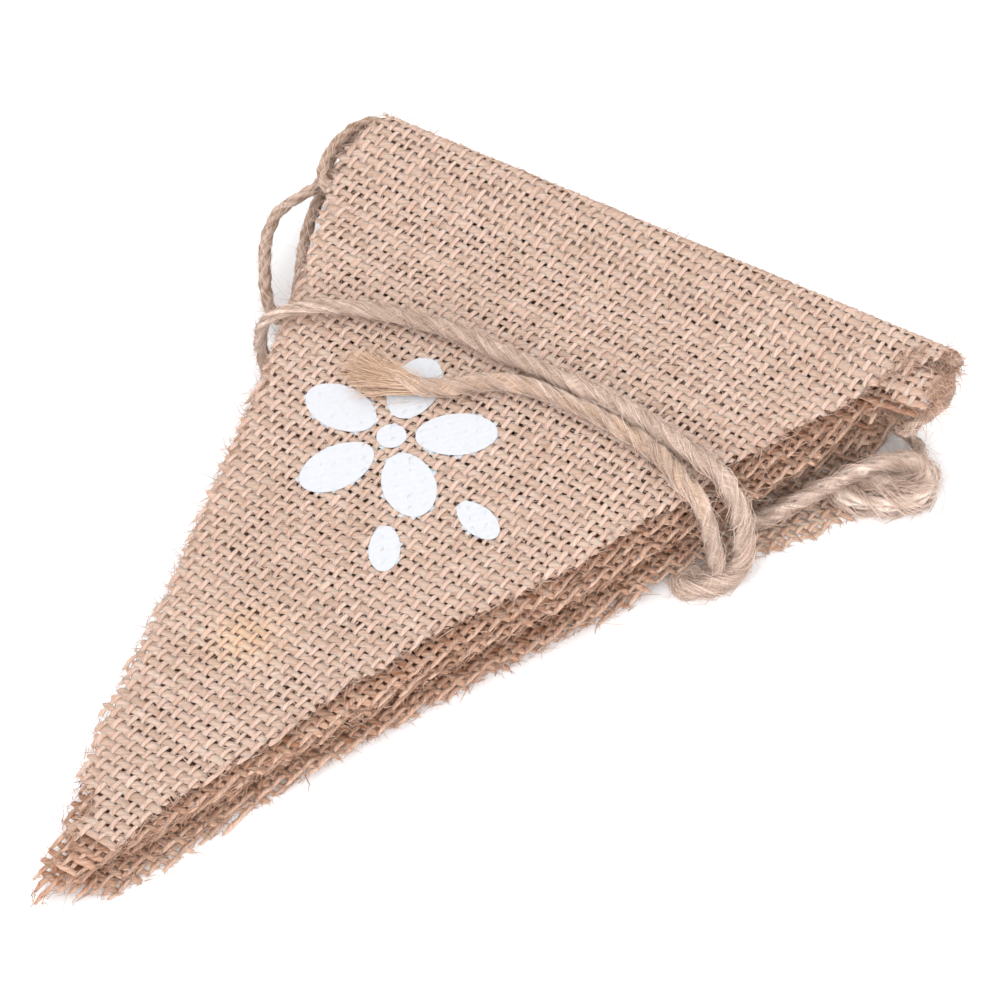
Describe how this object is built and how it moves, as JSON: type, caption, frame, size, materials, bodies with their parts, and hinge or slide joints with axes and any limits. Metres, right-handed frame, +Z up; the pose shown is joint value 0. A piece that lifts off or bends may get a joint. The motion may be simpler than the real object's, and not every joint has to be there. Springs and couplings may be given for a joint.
{
  "type": "burlap pennant bunting, folded and tied",
  "caption": "Fabric bunting folded up for storage: triangular burlap pennants stacked with their top hems threaded on one jute twine, whose tail is wrapped round the stack as a tie",
  "frame": {"origin": "on the surface it lies on, at the middle of the underside of the lowest pennant, level with the tie", "axes": "+X along the hems to the end where the twine comes out, +Y from the pennants' points towards their hems, +Z up through the stack"},
  "size_m": [0.167, 0.2212, 0.0321],
  "materials": {
    "burlap": "open plain weave of coarse natural jute yarn, raw cut edges",
    "jute_twine": "loosely twisted hairy jute twine"
  },
  "bodies": {
    "root": {"pennant_1": "burlap", "pennant_2": "burlap", "pennant_3": "burlap", "pennant_4": "burlap", "pennant_5": "burlap", "pennant_6": "burlap", "twine": "jute_twine"}
  },
  "joints": []
}
